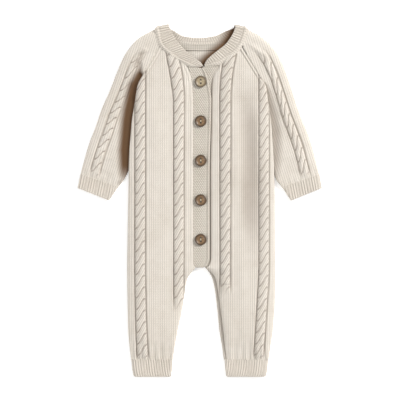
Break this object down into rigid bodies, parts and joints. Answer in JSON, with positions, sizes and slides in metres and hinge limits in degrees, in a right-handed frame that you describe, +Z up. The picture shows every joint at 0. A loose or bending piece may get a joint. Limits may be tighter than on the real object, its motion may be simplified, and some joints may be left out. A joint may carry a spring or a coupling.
{
  "type": "baby romper",
  "caption": "Long-sleeved baby romper in cream cable knit with raglan sleeves, ribbed ends and a buttoned front, laid flat on its back.",
  "frame": {"origin": "middle of the floor under the garment", "axes": "+Y from the ankles to the neck, +X to the wearer's left side, +Z up from the surface through the front"},
  "size_m": [0.381, 0.5495, 0.0121],
  "materials": {
    "cable_knit": "matte cotton cable knit, cream",
    "rib_knit": "matte ribbed cotton knit, cream",
    "band_knit": "matte fine plain cotton knit, cream",
    "horn_dark": "satin brown horn effect, marbled",
    "horn_light": "satin light brown horn effect"
  },
  "bodies": {
    "root": {"back": "cable_knit", "front_right": "cable_knit", "front_left": "cable_knit", "band_right": "band_knit", "band_left": "band_knit", "sleeve_right": "cable_knit", "sleeve_left": "cable_knit", "cuff_right": "rib_knit", "cuff_left": "rib_knit", "ankle_right": "rib_knit", "ankle_left": "rib_knit", "neckband": "rib_knit", "neck_tape": "band_knit", "button_1": "horn_dark", "button_2": "horn_dark", "button_3": "horn_dark", "button_4": "horn_dark", "button_5": "horn_light"}
  },
  "joints": []
}
